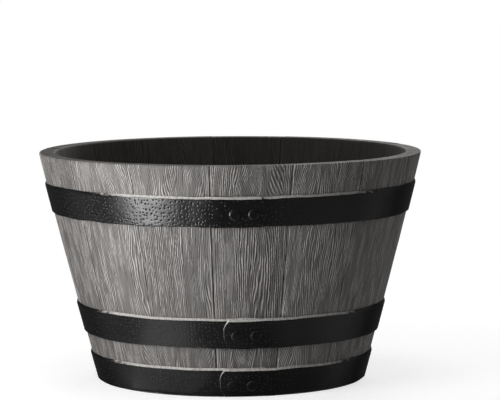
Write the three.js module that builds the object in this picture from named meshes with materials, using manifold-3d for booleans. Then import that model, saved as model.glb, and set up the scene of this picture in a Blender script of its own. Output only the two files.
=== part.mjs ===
// Half-barrel planter: tapered oak staves held in three riveted iron hoops, with a boarded head
// (the tub's bottom) let into a groove near the foot. Millimetres, +Z up, the front towards -Y.
// A bearing is an angle round the tub from the front towards +X.
import * as THREE from "three";
import { mergeVertices } from "three/addons/utils/BufferGeometryUtils.js";
import Module from "manifold-3d";

const wasm = await Module();
wasm.setup();

// ---- Driving dimensions ----

// Staves
const tubHeight = 298;
const rimRadius = 250; // outside of the staves at the rim, before it is bevelled
const footRadius = 173; // outside of the staves at the floor
const staveBow = 1.2; // how far a stave's back bulges past a straight line at half height
const staveThickness = 20;
const staveCount = 15;
const firstJointBearing = -6; // degrees
const jointGap = 0.3; // between two staves
const jointBevel = 1.2; // along the outer edges of each joint
const rimBevel = 2;
const footBevel = 3; // along the inner edge of the stave ends

// Head
const headThickness = 18;
const headHeight = 24; // floor to the head's underside
const headTongue = 9; // thickness of the edge that sits in the groove
const headBevel = 10; // width of the bevel down to the tongue
const tongueReveal = 2; // how far the tongue shows inside the staves
const grooveDepth = 6;
const headClearance = 0.3; // round the tongue
const headBoardCount = 5;
const boardGap = 0.3;
const drainRadius = 8; // one hole in each board but the outer two
const dowelRadius = 4;
const dowelLength = 36;
const dowelBevel = 0.8;
const dowelSpacing = 110; // between the two dowels of a joint
const dowelClearance = 0.3;

// Hoops
const hoopThickness = 2;
const hoopClearance = 0.3; // between hoop and staves, and between the two layers of a lap
const hoopEdge = 0.6; // what the bevels leave of the thickness at a hoop's edges
const hoopUpperBevel = 2.8; // height of the bevel along a hoop's upper edge
const hoopLowerBevel = 1.2;
const hoopWidth = 40.2; // of the upper and the lower hoop
const footHoopWidth = 38;
const upperHoopDrop = 37.4; // rim to the upper hoop's upper edge
const hoopSpacing = 25; // foot hoop to lower hoop
const footHoopRise = 1; // floor to the foot hoop's lower edge
const hoopStep = 14; // length over which a strap's outer end climbs onto its inner one
const hoopStepLead = 2; // from the end of the climb to the inner end
const strapEndDepth = 7; // of the rounding at a strap's outer end

// The bearing of each strap's outer end, in degrees
const upperHoopEnd = 10.8;
const lowerHoopEnd = -2.9;
const footHoopEnd = -4.8;

// Rivets
const rivetHeadRadius = 7;
const rivetHeadHeight = 2.4;
const rivetHeadRim = 0.6; // height of the upright rim round the head
const rivetHeadFlat = 4.8; // radius of the flat on top of the head
const rivetShankRadius = 3;
const rivetTailRadius = 4.2; // the tail is hammered into a countersink in the inner layer
const rivetTailLength = 1.4;
const rivetClearance = 0.3;
const rivetMargin = 16.5; // from a strap's end to the nearest rivet
const rivetSpacing = 23.5;
const rivetDrop = 1.6; // below the middle of the upper and the lower hoop
const footRivetDrop = 3;

// How finely round shapes are faceted
const facetsPerStave = 4;
const bowSteps = 4;
const climbSteps = 4;
const strapEndShares = [1, 0.87, 0.68, 0.42, 0.15]; // of the strap's width, towards its outer end
const closestCorners = 1; // along a strap, in millimetres
const rivetFacets = 12;
const dowelFacets = 12;
const drainFacets = 16;

// ---- Materials ----

const staveWood = new THREE.MeshStandardMaterial({ color: 0x8a8582, roughness: 0.75, metalness: 0 });
const headWood = new THREE.MeshStandardMaterial({ color: 0x77716c, roughness: 0.8, metalness: 0 });
const dowelWood = new THREE.MeshStandardMaterial({ color: 0xa98f6d, roughness: 0.7, metalness: 0 });
const hoopIron = new THREE.MeshStandardMaterial({ color: 0x1c1c1d, roughness: 0.45, metalness: 0.3 });
const rivetIron = new THREE.MeshStandardMaterial({ color: 0x18181a, roughness: 0.4, metalness: 0.3 });

// ---- The tub's shape ----

const jointAngle = (2 * Math.PI) / staveCount;
const facetAngle = jointAngle / facetsPerStave;
const firstJoint = THREE.MathUtils.degToRad(firstJointBearing);
const lean = Math.atan2(rimRadius - footRadius, tubHeight);
const wall = staveThickness / Math.cos(lean); // a stave's thickness measured level

function backRadius(z) {
  const t = z / tubHeight;
  return footRadius + (rimRadius - footRadius) * t + 4 * staveBow * t * (1 - t);
}

function backSlope(z) {
  return (rimRadius - footRadius + 4 * staveBow * (1 - (2 * z) / tubHeight)) / tubHeight;
}

function innerRadius(z) {
  return backRadius(z) - wall;
}

// Where a point at that height on a stave's back goes when it is lifted off it.
function offTheBack(z, offset) {
  const slope = backSlope(z);
  const slant = Math.hypot(1, slope);
  return { r: backRadius(z) + offset / slant, z: z - (offset * slope) / slant };
}

function place(bearing, r, z) {
  return new THREE.Vector3(r * Math.sin(bearing), -r * Math.cos(bearing), z);
}

// Round shapes have their corners at the same bearings as the staves' facets. In between, they
// follow the flat of the facet.
function facetShare(bearing) {
  const turn = (bearing - firstJoint) / facetAngle;
  const fromMiddle = (turn - Math.floor(turn) - 0.5) * facetAngle;
  return Math.cos(facetAngle / 2) / Math.cos(fromMiddle);
}

// ---- Solids ----

// A closed skin over equal loops of points, with flat ends. Each loop runs the same way round.
function loft(loops, outline) {
  const n = outline.length;
  const index = [];
  for (let i = 0; i + 1 < loops.length; i++) {
    for (let j = 0; j < n; j++) {
      const a = i * n + j;
      const b = i * n + ((j + 1) % n);
      index.push(a, b + n, b, a, a + n, b + n);
    }
  }
  const last = (loops.length - 1) * n;
  for (const [a, b, c] of THREE.ShapeUtils.triangulateShape(outline, [])) {
    index.push(a, b, c, last + c, last + b, last + a);
  }
  const geometry = new THREE.BufferGeometry().setFromPoints(loops.flat());
  geometry.setIndex(index);
  return geometry;
}

function sideView(outline) {
  return outline.map(({ r, z }) => new THREE.Vector2(r, z));
}

function solid(geometry) {
  const bare = geometry.index ? geometry.toNonIndexed() : geometry.clone();
  bare.deleteAttribute("normal");
  bare.deleteAttribute("uv");
  const merged = mergeVertices(bare, 1e-4);
  return new wasm.Manifold(
    new wasm.Mesh({
      numProp: 3,
      vertProperties: new Float32Array(merged.attributes.position.array),
      triVerts: new Uint32Array(merged.index.array),
    }),
  );
}

function geometryOf(body) {
  const mesh = body.getMesh();
  const geometry = new THREE.BufferGeometry();
  geometry.setAttribute("position", new THREE.BufferAttribute(mesh.vertProperties, 3));
  geometry.setIndex(new THREE.BufferAttribute(mesh.triVerts, 1));
  return geometry;
}

function turned(profile, facets, firstBearing = 0) {
  const points = profile.map(([r, z]) => new THREE.Vector2(r, z));
  return new THREE.LatheGeometry(points, facets, firstBearing);
}

const staves = new THREE.Group();
const head = new THREE.Group();
const straps = new THREE.Group();
const rivets = new THREE.Group();
const planter = new THREE.Group().add(staves, head, straps, rivets);

function addPiece(group, name, geometry, material) {
  const faceted = geometry.index ? geometry.toNonIndexed() : geometry;
  faceted.computeVertexNormals();
  const mesh = new THREE.Mesh(faceted, material);
  mesh.name = name;
  group.add(mesh);
  return mesh;
}

// ---- Staves ----

const grooveWidth = headTongue + 2 * headClearance;
const grooveLow = headHeight + (headThickness - grooveWidth) / 2;
const grooveHigh = grooveLow + grooveWidth;

// A stave's outline from the side: up its back, over the rim and down its inner face.
function staveOutline() {
  const outline = [];
  const back = (r, z) => outline.push({ r, z, onBack: true });
  const inside = (r, z) => outline.push({ r, z, onBack: false });
  const bowHeights = [];
  for (let i = 1; i < bowSteps; i++) bowHeights.push((tubHeight * i) / bowSteps);
  back(footRadius, 0);
  for (const z of bowHeights) back(backRadius(z), z);
  back(backRadius(tubHeight - rimBevel), tubHeight - rimBevel);
  back(rimRadius - rimBevel, tubHeight);
  inside(innerRadius(tubHeight) + rimBevel, tubHeight);
  inside(innerRadius(tubHeight - rimBevel), tubHeight - rimBevel);
  for (const z of bowHeights.reverse()) inside(innerRadius(z), z);
  inside(innerRadius(grooveHigh), grooveHigh);
  inside(innerRadius(grooveHigh) + grooveDepth, grooveHigh);
  inside(innerRadius(grooveLow) + grooveDepth, grooveLow);
  inside(innerRadius(grooveLow), grooveLow);
  inside(innerRadius(footBevel), footBevel);
  inside(innerRadius(0) + footBevel, 0);
  return outline;
}

// A stave with its first joint at bearing 0.
function staveGeometry() {
  const outline = staveOutline();
  // The two ends of the arc run parallel to the joint, off it by a distance.
  const beside = (joint, distance, bevel) =>
    outline.map(({ r, z, onBack }) => {
      const radius = onBack ? r - bevel : r;
      return place(joint + Math.asin(distance / radius), radius, z);
    });
  const near = jointGap / 2;
  const far = near + jointBevel;
  const loops = [beside(0, near, jointBevel), beside(0, far, 0)];
  for (let i = 1; i < facetsPerStave; i++) {
    loops.push(outline.map(({ r, z }) => place(i * facetAngle, r, z)));
  }
  loops.push(beside(jointAngle, -far, 0), beside(jointAngle, -near, jointBevel));
  return loft(loops, sideView(outline));
}

for (let i = 0; i < staveCount; i++) {
  const name = `stave_${String(i + 1).padStart(2, "0")}`;
  addPiece(staves, name, staveGeometry(), staveWood).rotation.z = firstJoint + i * jointAngle;
}

// ---- Head: boards, the dowels between them and the drain holes ----

const tongueLow = grooveLow + headClearance;
const tongueHigh = grooveHigh - headClearance;
const shoulderRadius = innerRadius(tongueLow) - tongueReveal;
const headRadius = innerRadius(tongueHigh) + grooveDepth - headClearance;
const headMiddle = headHeight + headThickness / 2;
const boardPitch = (2 * headRadius) / headBoardCount;

const headDisc = solid(
  turned(
    [
      [0, headHeight],
      [shoulderRadius - headBevel, headHeight],
      [shoulderRadius, tongueLow],
      [innerRadius(tongueLow) + grooveDepth - headClearance, tongueLow],
      [headRadius, tongueHigh],
      [shoulderRadius, tongueHigh],
      [shoulderRadius - headBevel, headHeight + headThickness],
      [0, headHeight + headThickness],
    ],
    staveCount * facetsPerStave,
    firstJoint,
  ).rotateX(Math.PI / 2),
);

function dowelGeometry(radius, length) {
  const half = length / 2;
  return turned(
    [
      [0, -half],
      [radius - dowelBevel, -half],
      [radius, -half + dowelBevel],
      [radius, half - dowelBevel],
      [radius - dowelBevel, half],
      [0, half],
    ],
    dowelFacets,
  );
}

function boardMiddle(i) {
  return (i + 0.5 - headBoardCount / 2) * boardPitch;
}

// Each joint between two boards has two dowels.
const dowelPlaces = [];
for (let i = 1; i < headBoardCount; i++) {
  for (const side of [-1, 1]) {
    const joint = boardMiddle(i) - boardPitch / 2;
    dowelPlaces.push(new THREE.Vector3((side * dowelSpacing) / 2, joint, headMiddle));
  }
}

let drilledHead = headDisc;
for (let i = 1; i < headBoardCount - 1; i++) {
  const drill = new THREE.CylinderGeometry(drainRadius, drainRadius, 2 * headThickness, drainFacets);
  drill.rotateX(Math.PI / 2).translate(0, boardMiddle(i), headMiddle);
  drilledHead = drilledHead.subtract(solid(drill));
}
for (const { x, y, z } of dowelPlaces) {
  const hole = dowelGeometry(dowelRadius + dowelClearance, dowelLength + 2 * dowelClearance);
  drilledHead = drilledHead.subtract(solid(hole.translate(x, y, z)));
}

for (let i = 0; i < headBoardCount; i++) {
  const slab = new THREE.BoxGeometry(3 * headRadius, boardPitch - boardGap, 3 * headThickness);
  slab.translate(0, boardMiddle(i), headMiddle);
  addPiece(head, `head_board_${i + 1}`, geometryOf(drilledHead.intersect(solid(slab))), headWood);
}

dowelPlaces.forEach((at, i) => {
  const dowel = dowelGeometry(dowelRadius, dowelLength);
  addPiece(head, `head_dowel_${i + 1}`, dowel, dowelWood).position.copy(at);
});

// ---- Hoops ----

const footHoopTop = footHoopRise + footHoopWidth;
const hoops = [
  {
    name: "upper",
    high: tubHeight - upperHoopDrop,
    width: hoopWidth,
    end: upperHoopEnd,
    winds: 1,
    drop: rivetDrop,
  },
  {
    name: "lower",
    high: footHoopTop + hoopSpacing + hoopWidth,
    width: hoopWidth,
    end: lowerHoopEnd,
    winds: -1,
    drop: rivetDrop,
  },
  {
    name: "foot",
    high: footHoopTop,
    width: footHoopWidth,
    end: footHoopEnd,
    winds: -1,
    drop: footRivetDrop,
  },
];

function hoopMiddle(hoop) {
  return hoop.high - hoop.width / 2;
}

// A hoop's section: up its outer face and down its inner one. Lift is how far it lies off the
// staves beyond its clearance, and share the part of its width that is left.
function hoopSection(hoop, lift, share) {
  const half = hoop.width / 2;
  const inner = hoopClearance + lift;
  const outer = inner + hoopThickness;
  const corners = [
    [-half, inner + hoopEdge],
    [-half + hoopLowerBevel, outer],
    [half - hoopUpperBevel, outer],
    [half, inner + hoopEdge],
    [half, inner],
    [-half, inner],
  ];
  return corners.map(([across, offset]) => offTheBack(hoopMiddle(hoop) + across * share, offset));
}

// The strap's sections along its length, with the bearing, lift and share of each.
function hoopStations(hoop) {
  const radius = backRadius(hoopMiddle(hoop));
  const total = 2 * Math.PI + (2 * rivetMargin + rivetSpacing) / radius;
  const climbEnd = 2 * Math.PI - hoopStepLead / radius;
  const climbStart = climbEnd - hoopStep / radius;
  const start = THREE.MathUtils.degToRad(hoop.end) - hoop.winds * total;
  const half = hoop.width / 2;
  const endRadius = (half ** 2 + strapEndDepth ** 2) / (2 * strapEndDepth);
  const endTravel = (share) => {
    const depth = endRadius - Math.sqrt(endRadius ** 2 - (share * half) ** 2);
    return total - depth / radius;
  };

  const travels = [0];
  for (let i = 0; i <= climbSteps; i++) {
    travels.push(climbStart + ((climbEnd - climbStart) * i) / climbSteps);
  }
  const ownCorners = [...travels, endTravel(1)];
  const turns = (hoop.winds * (start - firstJoint)) / facetAngle;
  for (let k = Math.ceil(turns); k < turns + endTravel(1) / facetAngle; k++) {
    const travel = (k - turns) * facetAngle;
    const nearest = Math.min(...ownCorners.map((own) => Math.abs(travel - own)));
    if (nearest > closestCorners / radius) travels.push(travel);
  }
  travels.sort((a, b) => a - b);

  const fullLift = hoopThickness + hoopClearance;
  const stations = travels.map((travel) => ({
    bearing: start + hoop.winds * travel,
    lift: fullLift * THREE.MathUtils.smoothstep(travel, climbStart, climbEnd),
    share: 1,
  }));
  for (const share of strapEndShares) {
    stations.push({ bearing: start + hoop.winds * endTravel(share), lift: fullLift, share });
  }
  return stations;
}

function strapGeometry(hoop) {
  const loops = hoopStations(hoop).map(({ bearing, lift, share }) =>
    hoopSection(hoop, lift, share).map(({ r, z }) => place(bearing, r * facetShare(bearing), z)),
  );
  if (hoop.winds < 0) loops.reverse();
  return loft(loops, sideView(hoopSection(hoop, 0, 1)));
}

// ---- Rivets ----

// A rivet stands along its own axis with the seat of its head at 0 and ends flush with the inner
// face of the inner layer.
const rivetGrip = 2 * hoopThickness + 2 * hoopClearance;

function rivetGeometry() {
  return turned(
    [
      [0, -rivetGrip],
      [rivetTailRadius, -rivetGrip],
      [rivetShankRadius, -rivetGrip + rivetTailLength],
      [rivetShankRadius, 0],
      [rivetHeadRadius, 0],
      [rivetHeadRadius, rivetHeadRim],
      [rivetHeadFlat, rivetHeadHeight],
      [0, rivetHeadHeight],
    ],
    rivetFacets,
  );
}

function rivetHoleGeometry() {
  return turned(
    [
      [0, -rivetGrip - hoopThickness],
      [rivetTailRadius + rivetClearance, -rivetGrip - hoopThickness],
      [rivetTailRadius + rivetClearance, -rivetGrip],
      [rivetShankRadius + rivetClearance, -rivetGrip + rivetTailLength],
      [rivetShankRadius + rivetClearance, hoopThickness],
      [0, hoopThickness],
    ],
    rivetFacets,
  );
}

function standRivet(object, hoop, i) {
  const fromEnd = (rivetMargin + i * rivetSpacing) / backRadius(hoopMiddle(hoop));
  const bearing = THREE.MathUtils.degToRad(hoop.end) - hoop.winds * fromEnd;
  const height = hoopMiddle(hoop) - hoop.drop;
  const seat = offTheBack(height, hoopClearance + rivetGrip);
  const out = new THREE.Vector3(Math.sin(bearing), -Math.cos(bearing), -backSlope(height));
  object.position.copy(place(bearing, seat.r, seat.z));
  object.quaternion.setFromUnitVectors(new THREE.Vector3(0, 1, 0), out.normalize());
  object.updateMatrix();
  return object;
}

for (const hoop of hoops) {
  let strap = solid(strapGeometry(hoop));
  for (const i of [0, 1]) {
    const drill = standRivet(new THREE.Object3D(), hoop, i);
    strap = strap.subtract(solid(rivetHoleGeometry().applyMatrix4(drill.matrix)));
    const rivet = addPiece(rivets, `rivet_${hoop.name}_${i + 1}`, rivetGeometry(), rivetIron);
    standRivet(rivet, hoop, i);
  }
  addPiece(straps, `hoop_${hoop.name}`, geometryOf(strap), hoopIron);
}

export default planter;
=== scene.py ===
import math
import bmesh
import bpy
import numpy as np
from mathutils import Matrix, Vector


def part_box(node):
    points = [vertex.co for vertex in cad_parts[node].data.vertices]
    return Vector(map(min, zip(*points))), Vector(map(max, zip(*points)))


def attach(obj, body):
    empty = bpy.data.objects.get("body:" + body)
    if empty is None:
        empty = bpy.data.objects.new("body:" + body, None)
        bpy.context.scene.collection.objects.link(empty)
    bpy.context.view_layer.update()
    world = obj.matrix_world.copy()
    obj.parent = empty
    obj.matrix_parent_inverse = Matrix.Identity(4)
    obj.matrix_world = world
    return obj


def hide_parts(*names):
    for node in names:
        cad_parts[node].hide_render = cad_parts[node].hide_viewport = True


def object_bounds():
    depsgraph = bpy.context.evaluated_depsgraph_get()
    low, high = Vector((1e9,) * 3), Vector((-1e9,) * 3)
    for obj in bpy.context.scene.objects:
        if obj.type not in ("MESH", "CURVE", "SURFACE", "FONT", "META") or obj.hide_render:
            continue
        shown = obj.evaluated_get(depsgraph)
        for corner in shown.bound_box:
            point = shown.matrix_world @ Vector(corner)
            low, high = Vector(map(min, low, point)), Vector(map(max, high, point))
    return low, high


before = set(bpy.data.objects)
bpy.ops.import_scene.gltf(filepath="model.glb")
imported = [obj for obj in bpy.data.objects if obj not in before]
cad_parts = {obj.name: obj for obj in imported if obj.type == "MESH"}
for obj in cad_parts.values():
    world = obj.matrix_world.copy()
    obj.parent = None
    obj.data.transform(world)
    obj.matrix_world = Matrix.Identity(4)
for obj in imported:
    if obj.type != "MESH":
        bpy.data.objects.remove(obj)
cadBox = [list(corner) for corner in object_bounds()]
mm = 0.001
print("frame: loaded", len(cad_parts), "nodes")

# The tub's own shape, in metres. A bearing is an angle round it from the front towards +X.
tub = {
    "height": cadBox[1][2],
    "rimRadius": 0.250,  # outside of the staves, before the rim is rounded
    "footRadius": 0.173,
    "bow": 0.0012,  # how far a stave's back bulges at half height
    "thickness": 0.020,
    "staveCount": 15,
    "firstJoint": math.radians(-6),
    "jointGap": 0.0003,
}
jointAngle = 2 * math.pi / tub["staveCount"]
wallLean = math.atan2(tub["rimRadius"] - tub["footRadius"], tub["height"])
levelWall = tub["thickness"] / math.cos(wallLean)  # a stave's thickness measured level


def backRadius(z):  # the outside of the staves, a cone with a slight bow
    t = z / tub["height"]
    return tub["footRadius"] + (tub["rimRadius"] - tub["footRadius"]) * t + 4 * tub["bow"] * t * (1 - t)


def backSlope(z):
    t = z / tub["height"]
    return (tub["rimRadius"] - tub["footRadius"] + 4 * tub["bow"] * (1 - 2 * t)) / tub["height"]


def place(bearing, radius, z):
    bearing, radius, z = np.broadcast_arrays(bearing, radius, z)
    return np.stack([radius * np.sin(bearing), -radius * np.cos(bearing), z], -1)


def offTheBack(z, offset):  # radius and height of a point lifted off a stave's back
    slant = np.hypot(1, backSlope(z))
    return backRadius(z) + offset / slant, z - offset * backSlope(z) / slant


def smoothStep(low, high, x):
    t = np.clip((x - low) / (high - low), 0, 1)
    return t * t * (3 - 2 * t)


def latticeValue(ix, iy, seed):  # a repeatable value from -1 to 1 at each lattice point
    h = (ix.astype(np.int64) * 374761393 + iy.astype(np.int64) * 668265263 + seed * 974126177) & 0xFFFFFFFF
    h = ((h ^ (h >> 13)) * 1103515245) & 0xFFFFFFFF
    h = ((h ^ (h >> 16)) * 668265263) & 0xFFFFFFFF
    return ((h >> 8) & 0xFFFFFF) / 0x7FFFFF - 1


def noise(x, y, seed):  # smooth, from about -1 to 1, one bump a unit
    x, y = np.broadcast_arrays(np.asarray(x, float), np.asarray(y, float))
    ix, iy = np.floor(x), np.floor(y)
    fx, fy = smoothStep(0, 1, x - ix), smoothStep(0, 1, y - iy)
    low = latticeValue(ix, iy, seed) * (1 - fx) + latticeValue(ix + 1, iy, seed) * fx
    high = latticeValue(ix, iy + 1, seed) * (1 - fx) + latticeValue(ix + 1, iy + 1, seed) * fx
    return low * (1 - fy) + high * fy


def makeMesh(name, points, faces, materials, faceMaterial=None, fields=None, uv=None, sharp=60):
    mesh = bpy.data.meshes.new(name)
    mesh.vertices.add(len(points))
    mesh.vertices.foreach_set("co", np.ascontiguousarray(points, np.float32).ravel())
    corners = np.concatenate([np.asarray(f).ravel() for f in faces]).astype(np.int32)
    sizes = np.concatenate([np.full(len(f), f.shape[1]) for f in faces])
    mesh.loops.add(len(corners))
    mesh.loops.foreach_set("vertex_index", corners)
    mesh.polygons.add(len(sizes))
    mesh.polygons.foreach_set("loop_start", (np.cumsum(sizes) - sizes).astype(np.int32))
    if faceMaterial is not None:
        mesh.polygons.foreach_set("material_index", faceMaterial.astype(np.int32))
    mesh.update(calc_edges=True)
    for material in materials:
        mesh.materials.append(material)
    for label, values in (fields or {}).items():
        addField(mesh, label, values)
    if uv is not None:
        layer = mesh.uv_layers.new(name="OFBake", do_init=False)
        layer.uv.foreach_set("vector", uv.astype(np.float32).ravel())
    mesh.polygons.foreach_set("use_smooth", np.ones(len(sizes), bool))
    mesh.set_sharp_from_angle(angle=math.radians(sharp))
    piece = bpy.data.objects.new(name, mesh)
    bpy.context.scene.collection.objects.link(piece)
    return piece


def addField(mesh, label, values):  # a number or a vector for each vertex, which the materials read
    isVector = values.ndim == 2
    layer = mesh.attributes.new(label, "FLOAT_VECTOR" if isVector else "FLOAT", "POINT")
    layer.data.foreach_set("vector" if isVector else "value", values.astype(np.float32).ravel())


def finishPiece(piece, slot, *nodes):
    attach(piece, "root")
    if nodes:
        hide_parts(*nodes)
    return piece


def newGroup(name, inputs, outputs):
    tree = bpy.data.node_groups.new(name, "ShaderNodeTree")
    for label, kind, default in inputs:
        socket = tree.interface.new_socket(label, in_out="INPUT", socket_type=kind)
        if default is not None:
            socket.default_value = default
    for label, kind in outputs:
        tree.interface.new_socket(label, in_out="OUTPUT", socket_type=kind)
    return tree, tree.nodes.new("NodeGroupInput"), tree.nodes.new("NodeGroupOutput")


def feed(tree, socket, value):  # by a link, or else with a constant
    if isinstance(value, bpy.types.NodeSocket):
        tree.links.new(value, socket)
    elif socket.type == "RGBA" and len(value) == 3:
        socket.default_value = (*value, 1)
    else:
        socket.default_value = value


def addNode(tree, kind, settings=None, **inputs):  # an input goes by its name, or by i0, i1 and so on
    node = tree.nodes.new(kind)
    for key, value in (settings or {}).items():
        setattr(node, key, value)
    for key, value in inputs.items():
        isIndex = key[0] == "i" and key[1:].isdigit()
        feed(tree, node.inputs[int(key[1:]) if isIndex else key], value)
    return node


def calc(tree, operation, a, b=0.0, c=0.0):
    return addNode(tree, "ShaderNodeMath", {"operation": operation}, i0=a, i1=b, i2=c).outputs[0]


def mixColour(tree, factor, a, b):
    return addNode(tree, "ShaderNodeMix", {"data_type": "RGBA"}, i0=factor, i6=a, i7=b).outputs[2]


def remap(tree, value, low, high, toLow, toHigh):
    settings = {"interpolation_type": "SMOOTHSTEP"}
    node = addNode(tree, "ShaderNodeMapRange", settings, i0=value, i1=low, i2=high, i3=toLow, i4=toHigh)
    return node.outputs[0]


def noiseAt(tree, spot, bumps, detail):  # bumps is how many there are a metre, along each axis
    stretched = addNode(tree, "ShaderNodeMapping", None, Vector=spot, Scale=bumps).outputs[0]
    values = {"Vector": stretched, "Scale": 1.0, "Detail": detail, "Roughness": 0.55}
    return addNode(tree, "ShaderNodeTexNoise", None, **values).outputs["Fac"]


def newMaterial(name, gloss):
    material = bpy.data.materials.new(name)
    material.use_nodes = True
    tree = material.node_tree
    tree.nodes.clear()
    shader = tree.nodes.new("ShaderNodeBsdfPrincipled")
    shader.inputs["Specular IOR Level"].default_value = gloss
    output = tree.nodes.new("ShaderNodeOutputMaterial")
    tree.links.new(shader.outputs[0], output.inputs[0])
    return material, tree, shader


# Fibres and stains of a board whose grain runs along the place's Z
grainLook = {
    "fibre": (1500, 1500, 38),  # bumps a metre
    "streak": (230, 230, 9),
    "patch": (22, 22, 7),
    "speck": (700, 700, 240),
    "fibreShare": 0.34,  # of the tone
    "wood": (0.0, 0.38),  # tones over which a groove turns into wood, and the wood into a ridge
    "ridge": (0.42, 1.0),
    "streakStain": (0.35, 0.72, 0.0, 0.22),  # from where to where, and how strong
    "patchStain": (0.4, 0.7, 0.0, 0.2),
    "speckDirt": (0.62, 0.78, 0.0, 0.45),
    "grimeShare": 0.8,
    "roughness": (0.4, 1.3, 0.82, 0.6),
}
tree, inlet, outlet = newGroup(
    "woodGrain",
    [("Place", "NodeSocketVector", None), ("Grain", "NodeSocketFloat", 0.5),
     ("Grime", "NodeSocketFloat", 0.0), ("Groove", "NodeSocketColor", (0.1, 0.1, 0.1, 1)),
     ("Wood", "NodeSocketColor", (0.2, 0.2, 0.2, 1)),
     ("Ridge", "NodeSocketColor", (0.3, 0.3, 0.3, 1)), ("Stain", "NodeSocketColor", (0.1, 0.1, 0.1, 1)),
     ("Fibre Height", "NodeSocketFloat", 1.0)],
    [("Color", "NodeSocketColor"), ("Roughness", "NodeSocketFloat"), ("Height", "NodeSocketFloat")],
)
spot, groove, stain = inlet.outputs["Place"], inlet.outputs["Groove"], inlet.outputs["Stain"]
fibre = noiseAt(tree, spot, grainLook["fibre"], 4)
streak = noiseAt(tree, spot, grainLook["streak"], 3)
patch = noiseAt(tree, spot, grainLook["patch"], 3)
speck = noiseAt(tree, spot, grainLook["speck"], 2)
share = grainLook["fibreShare"]
lightness = calc(tree, "ADD", inlet.outputs["Grain"], calc(tree, "MULTIPLY_ADD", fibre, share, -share / 2))
tone = mixColour(tree, remap(tree, lightness, *grainLook["wood"], 0.0, 1.0), groove, inlet.outputs["Wood"])
tone = mixColour(tree, remap(tree, lightness, *grainLook["ridge"], 0.0, 1.0), tone, inlet.outputs["Ridge"])
tone = mixColour(tree, remap(tree, streak, *grainLook["streakStain"]), tone, stain)
tone = mixColour(tree, remap(tree, patch, *grainLook["patchStain"]), tone, stain)
tone = mixColour(tree, remap(tree, speck, *grainLook["speckDirt"]), tone, groove)
# Grimeshade darkens towards the groove tone: dirt along the joints, a painted shadow below each hoop, and
# the inside darker towards the bottom
tone = mixColour(tree, calc(tree, "MULTIPLY", inlet.outputs["Grime"], grainLook["grimeShare"]), tone, groove)
tree.links.new(tone, outlet.inputs["Color"])
worn = calc(tree, "ADD", streak, inlet.outputs["Grain"])
tree.links.new(remap(tree, worn, *grainLook["roughness"]), outlet.inputs["Roughness"])
height = calc(tree, "ADD", fibre, calc(tree, "MULTIPLY", speck, 0.5))
tree.links.new(calc(tree, "MULTIPLY", height, inlet.outputs["Fibre Height"]), outlet.inputs["Height"])
woodGrain = tree

# Black paint over hammered iron, worn pale where Wear says; the pale bare metal and the grey in the pits
# also serve as painted light
paintLook = {
    "cast": (1100, 1100, 1100),  # bumps a metre
    "cloud": (55, 55, 55),
    "chip": (330, 330, 330),
    "ragged": 0.4,  # how uneven a worn edge is
    "worn": (0.38, 0.78),  # wear over which the paint gives way
    "fade": (0.4, 0.65, 0.0, 0.5),  # from where to where in the clouds, and how strong
    "faded": (0.0045, 0.0043, 0.0042),
    "pitDustAndGlint": (0.085, 0.083, 0.080),
    "pitDustAndGlintShare": 0.9,
    "tarnishing": (0.35, 0.65, 0.0, 0.5),
    "tarnish": (0.13, 0.12, 0.11),
    "satin": (0.4, 0.9, 0.27, 0.36),
    "wornRoughness": 0.25,
    "pitRoughness": 0.22,
    "castShare": 0.3,
    "pitHeight": -3.0,
    "wornHeight": -0.5,
}
tree, inlet, outlet = newGroup(
    "wornPaint",
    [("Place", "NodeSocketVector", None), ("Wear", "NodeSocketFloat", 0.0), ("Pit", "NodeSocketFloat", 0.0),
     ("Paint", "NodeSocketColor", (0.01, 0.01, 0.01, 1)), ("Bare", "NodeSocketColor", (0.4, 0.4, 0.4, 1))],
    [("Color", "NodeSocketColor"), ("Roughness", "NodeSocketFloat"), ("Height", "NodeSocketFloat")],
)
spot, pit = inlet.outputs["Place"], inlet.outputs["Pit"]
cast = noiseAt(tree, spot, paintLook["cast"], 3)
cloud = noiseAt(tree, spot, paintLook["cloud"], 3)
chip = noiseAt(tree, spot, paintLook["chip"], 4)
share = paintLook["ragged"]
worn = calc(tree, "ADD", inlet.outputs["Wear"], calc(tree, "MULTIPLY_ADD", chip, share, -share / 2))
worn = remap(tree, worn, *paintLook["worn"], 0.0, 1.0)
faded = remap(tree, cloud, *paintLook["fade"])
paint = mixColour(tree, faded, inlet.outputs["Paint"], paintLook["faded"])
# the pits turn pale grey: dust settled in them, and painted glints for the light their flanks catch
paint = mixColour(tree, calc(tree, "MULTIPLY", pit, paintLook["pitDustAndGlintShare"]), paint, paintLook["pitDustAndGlint"])
tarnished = remap(tree, chip, *paintLook["tarnishing"])
bare = mixColour(tree, tarnished, inlet.outputs["Bare"], paintLook["tarnish"])
tree.links.new(mixColour(tree, worn, paint, bare), outlet.inputs["Color"])
castShare = calc(tree, "MULTIPLY", cast, paintLook["castShare"])
satin = remap(tree, calc(tree, "ADD", cloud, castShare), *paintLook["satin"])
wornRough = calc(tree, "MULTIPLY", worn, paintLook["wornRoughness"])
rough = calc(tree, "MAXIMUM", wornRough, calc(tree, "MULTIPLY", pit, paintLook["pitRoughness"]))
tree.links.new(calc(tree, "ADD", satin, rough), outlet.inputs["Roughness"])
dents = calc(tree, "MULTIPLY_ADD", pit, paintLook["pitHeight"], castShare)
tree.links.new(calc(tree, "MULTIPLY_ADD", worn, paintLook["wornHeight"], dents), outlet.inputs["Height"])
wornPaint = tree


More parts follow.
